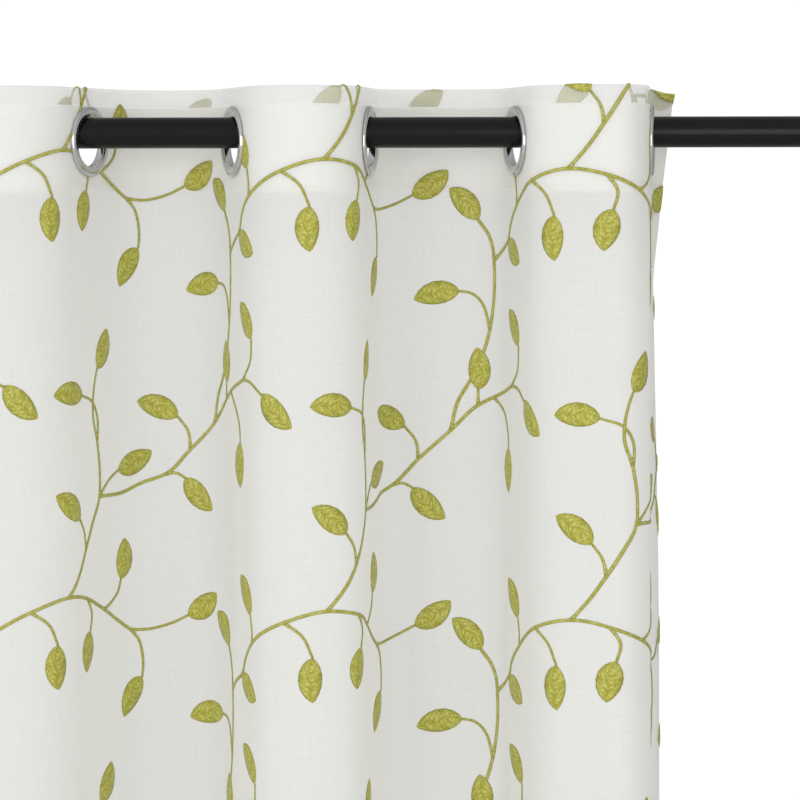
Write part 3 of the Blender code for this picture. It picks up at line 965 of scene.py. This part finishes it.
def yarn_material(name, half_width, row_pitch, lean, rim_shade_start, colours):
    """Rayon embroidery yarn laid in close short stitches: soft lustre, painted shade in the gaps
    between the rows, and painted highlights as pale flecks where a stitch would catch the light. The
    rows lean to a point along the middle, and the colour is darkened round the rim as painted shade,
    where the yarn turns down into the cloth."""
    # dark is painted shade for the row gaps, light a painted highlight, rim the painted shade of the
    # turned-down edge; middle is the yarn's own colour
    dark, middle, light, rim = (linear(colour) for colour in colours)
    material, tree = blank_material(name)
    uv = add_node(tree, "TexCoord").outputs["UV"]
    parts = add_node(tree, "SeparateXYZ", {0: uv})
    side = add_node(tree, "Math", {0: parts.outputs["X"]}, operation="ABSOLUTE").outputs[0]
    across = add_node(tree, "Math", {0: parts.outputs["X"], 1: half_width}, operation="MULTIPLY")
    along = add_node(
        tree, "Math", {0: side, 1: lean * half_width, 2: parts.outputs["Y"]}, operation="MULTIPLY_ADD"
    )
    leaning = add_node(tree, "CombineXYZ", {"X": across.outputs[0], "Y": along.outputs[0]})
    stitches = add_node(
        tree, "TexBrick",
        {
            "Vector": leaning.outputs[0], "Scale": 1.0, "Mortar Size": row_pitch * 0.14, "Mortar Smooth": 1.0,
            "Brick Width": STITCH_DRAWN_LENGTH, "Row Height": row_pitch,
            "Color1": (0.35, 0.35, 0.35, 1), "Color2": (0.95, 0.95, 0.95, 1), "Mortar": (0, 0, 0, 1),
        },
    )
    flecks = add_node(tree, "TexNoise", {"Vector": leaning.outputs[0], "Scale": 700.0, "Detail": 2.0})
    shade = add_node(
        tree, "Mix", {0: 0.40, 6: stitches.outputs["Color"], 7: flecks.outputs["Fac"]}, data_type="RGBA"
    )
    # The ramp turns the stitch pattern into painted shade in the row gaps, the yarn's own colour, and painted
    # highlights on the flecks
    ramp = add_node(tree, "ValToRGB", {0: shade.outputs[2]})
    ramp.color_ramp.elements[0].position, ramp.color_ramp.elements[0].color = 0.24, dark
    ramp.color_ramp.elements[1].position, ramp.color_ramp.elements[1].color = 0.80, light
    ramp.color_ramp.elements.new(0.50).color = middle
    # Painted shade: the colour darkens towards the rim, where the yarn turns down into the cloth
    rim_shade = add_node(
        tree, "MapRange", {"Value": side, "From Min": rim_shade_start}, interpolation_type="SMOOTHSTEP"
    )
    rim_shade = add_node(tree, "Math", {0: rim_shade.outputs[0], 1: 0.8}, operation="MULTIPLY")
    colour = add_node(tree, "Mix", {0: rim_shade.outputs[0], 6: ramp.outputs[0], 7: rim}, data_type="RGBA")
    bump = add_node(tree, "Bump", {"Height": shade.outputs[2], "Strength": 0.6, "Distance": 0.0005})
    face = add_node(
        tree, "BsdfPrincipled",
        {
            "Base Color": colour.outputs[2], "Roughness": 0.5, "Normal": bump.outputs[0],
            "Specular IOR Level": 0.35, "Sheen Weight": 0.1, "Sheen Roughness": 0.35,
        },
    )
    add_node(tree, "OutputMaterial", {"Surface": face.outputs[0]})
    return material


def thread_material():
    """Spun polyester sewing thread, white: twisted, so it has a fine slanting ridge."""
    material, tree = blank_material("spun polyester sewing thread")
    uv = add_node(tree, "TexCoord").outputs["UV"]
    twist = add_node(
        tree, "TexWave", {"Vector": uv, "Scale": wave_scale(THREAD_TWIST_PITCH)}, bands_direction="Y"
    )
    bump = add_node(tree, "Bump", {"Height": twist.outputs["Fac"], "Strength": 0.3, "Distance": 0.0001})
    face = add_node(
        tree, "BsdfPrincipled",
        {"Base Color": linear("#EDEDE8"), "Roughness": 0.6, "Normal": bump.outputs[0], "Sheen Weight": 0.1},
    )
    add_node(tree, "OutputMaterial", {"Surface": face.outputs[0]})
    return material


def chrome_material():
    """Bright chrome plate over pressed steel: mirror-like, with faint polishing marks."""
    material, tree = blank_material("polished chrome plate")
    place = add_node(tree, "TexCoord").outputs["Object"]
    marks = add_node(tree, "TexNoise", {"Vector": place, "Scale": 420.0, "Detail": 3.0})
    rough = add_node(
        tree, "MapRange",
        {"Value": marks.outputs["Fac"], "From Min": 0.3, "From Max": 0.7, "To Min": 0.05, "To Max": 0.11},
    )
    bump = add_node(tree, "Bump", {"Height": marks.outputs["Fac"], "Strength": 0.05, "Distance": 0.0002})
    face = add_node(
        tree, "BsdfPrincipled",
        {
            "Base Color": linear("#C9C9CA"), "Metallic": 1.0, "Roughness": rough.outputs[0],
            "Normal": bump.outputs[0],
        },
    )
    add_node(tree, "OutputMaterial", {"Surface": face.outputs[0]})
    return material


def lacquer_material():
    """Satin black lacquer sprayed on steel tube: a soft highlight and a very fine orange peel."""
    material, tree = blank_material("satin black lacquer on steel")
    place = add_node(tree, "TexCoord").outputs["Object"]
    peel = add_node(tree, "TexNoise", {"Vector": place, "Scale": 900.0, "Detail": 2.0})
    dust = add_node(tree, "TexNoise", {"Vector": place, "Scale": 60.0, "Detail": 4.0})
    rough = add_node(
        tree, "MapRange",
        {"Value": dust.outputs["Fac"], "From Min": 0.3, "From Max": 0.7, "To Min": 0.20, "To Max": 0.28},
    )
    bump = add_node(tree, "Bump", {"Height": peel.outputs["Fac"], "Strength": 0.08, "Distance": 0.0002})
    face = add_node(
        tree, "BsdfPrincipled",
        {
            "Base Color": linear("#080808"), "Roughness": rough.outputs[0], "Normal": bump.outputs[0],
            "Specular IOR Level": 0.22,
        },
    )
    add_node(tree, "OutputMaterial", {"Surface": face.outputs[0]})
    return material


def floor_material():
    """Matt painted studio floor, pale grey, with a very slight unevenness."""
    material, tree = blank_material("matt pale studio floor")
    place = add_node(tree, "TexCoord").outputs["Object"]
    uneven = add_node(tree, "TexNoise", {"Vector": place, "Scale": 3.0, "Detail": 3.0})
    colour = add_node(
        tree, "Mix",
        {0: uneven.outputs["Fac"], 6: linear("#E4E3E0"), 7: linear("#ECEBE8")}, data_type="RGBA",
    )
    face = add_node(tree, "BsdfPrincipled", {"Base Color": colour.outputs[2], "Roughness": 0.85})
    add_node(tree, "OutputMaterial", {"Surface": face.outputs[0]})
    return material


FLOOR_SIZE = 5.0
FLOOR_Z = TOP_EDGE_Z - PANEL_DROP - 0.020
WORLD_BACK, WORLD_FRONT = 0.36, 0.85
WORLD_SEEN = 1.02
WORLD_BRIGHT_SIDE = (-0.4, -0.91, 0.05)
LIGHT_AIM = (0.75, 0.0, -0.15)
SENSOR_MM = 36.0
IMAGE_SIDE = 800
FOCAL_PIXELS = 2962.0
CAMERA_PLACE = (0.7997, -2.4006, -0.0482)
CAMERA_PITCH_DEG = 4.01
CAMERA_ROLL_DEG = 0.115


def add_studio():
    """A pale floor, a white surround that is brighter in front and to the left, and two soft lights.

    The lights stand in front, one to each side. The surround is plain white where the camera sees it.
    """
    half = FLOOR_SIZE / 2
    square = ((-1, -1), (1, -1), (1, 1), (-1, 1))
    corners = [(ROD_LENGTH / 2 + x * half, y * half, FLOOR_Z) for x, y in square]
    floor = mesh_piece("studio_floor", corners, [(0, 1, 2, 3)], floor_material())

    world = bpy.data.worlds.new("white studio")
    bpy.context.scene.world = world
    world.use_nodes = True
    tree = world.node_tree
    tree.nodes.clear()
    path = add_node(tree, "LightPath")
    direction = add_node(tree, "TexCoord").outputs["Generated"]
    towards = add_node(tree, "VectorMath", {0: direction, 1: WORLD_BRIGHT_SIDE}, operation="DOT_PRODUCT")
    around = add_node(
        tree, "MapRange",
        {"Value": towards.outputs["Value"], "From Min": -1.0, "To Min": WORLD_BACK, "To Max": WORLD_FRONT},
    )
    strength = add_node(
        tree, "MapRange",
        {"Value": path.outputs["Is Camera Ray"], "To Min": around.outputs[0], "To Max": WORLD_SEEN},
    )
    white = add_node(tree, "Background", {"Color": (1, 1, 1, 1), "Strength": strength.outputs[0]})
    add_node(tree, "OutputWorld", {"Surface": white.outputs[0]})

    lights = (
        ("key from the left", (-1.3, -3.15, 0.1), 1.6, 32.0),
        ("light from the right", (2.1, -3.2, 0.0), 2.0, 27.0),
    )
    aim = Vector(LIGHT_AIM)
    for name, place, size, watts in lights:
        light = bpy.data.lights.new(name, "AREA")
        light.size = size
        light.energy = watts
        lamp = bpy.data.objects.new(name, light)
        bpy.context.scene.collection.objects.link(lamp)
        lamp.location = place
        lamp.rotation_euler = (aim - Vector(place)).to_track_quat("-Z", "Y").to_euler()


def add_camera():
    """The photograph's view: a long lens at the rod's height, tipped down a little."""
    lens = bpy.data.cameras.new("camera")
    lens.sensor_width = SENSOR_MM
    lens.lens = SENSOR_MM * FOCAL_PIXELS / IMAGE_SIDE
    camera = bpy.data.objects.new("camera", lens)
    bpy.context.scene.collection.objects.link(camera)
    tip = Matrix.Rotation(math.radians(90 - CAMERA_PITCH_DEG), 4, "X")
    roll = Matrix.Rotation(math.radians(-CAMERA_ROLL_DEG), 4, "Z")
    camera.matrix_world = Matrix.Translation(CAMERA_PLACE) @ tip @ roll
    bpy.context.scene.camera = camera


def main():
    # Each yarn's colours: painted shade for the row gaps, its own colour, a painted highlight, and painted
    # rim shade; the number before them is where the rim shade starts
    yarn = yarn_material(
        "rayon embroidery yarn in close fill", LEAF_HALF_WIDTH, LEAF_ROW_PITCH, 0.8, 0.72,
        ("#817F27", "#ACA938", "#D2CF7A", "#8C8A29"),
    )
    stem_yarn = yarn_material(
        "rayon embroidery yarn in satin stitch", MAIN_STEM_MM * MM / 2, STEM_TWIST_PITCH, 1.3, 0.30,
        ("#85842F", "#AFAD4A", "#CDCB7A", "#87862F"),
    )
    voile = add_voile(voile_material())
    band = add_band(band_material())
    leaves = sew_on_voile("embroidered_leaves", product(map(leaf_shape, LEAVES), repeats()), yarn)
    stems = sew_on_voile("embroidered_stems", product(map(stem_shape, STEMS), repeats()), stem_yarn)
    stitching = add_hem_stitching(thread_material())
    eyelets = list(add_eyelets(chrome_material()))
    rod = add_rod(lacquer_material())

    dressed = (
        (voile, "voile", ("curtain_panel",)),
        (band, "heading", ("heading_band",)),
        (leaves, "embroidery", ()),
        (stems, "embroidery", ()),
        (stitching, "voile", ()),
        (rod, "rod", ("rod",)),
    )
    for piece, slot, nodes in dressed:
        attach(piece, "root")
        if nodes:
            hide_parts(*nodes)

    add_studio()
    add_camera()
    bpy.context.scene.view_settings.view_transform = "Standard"


main()
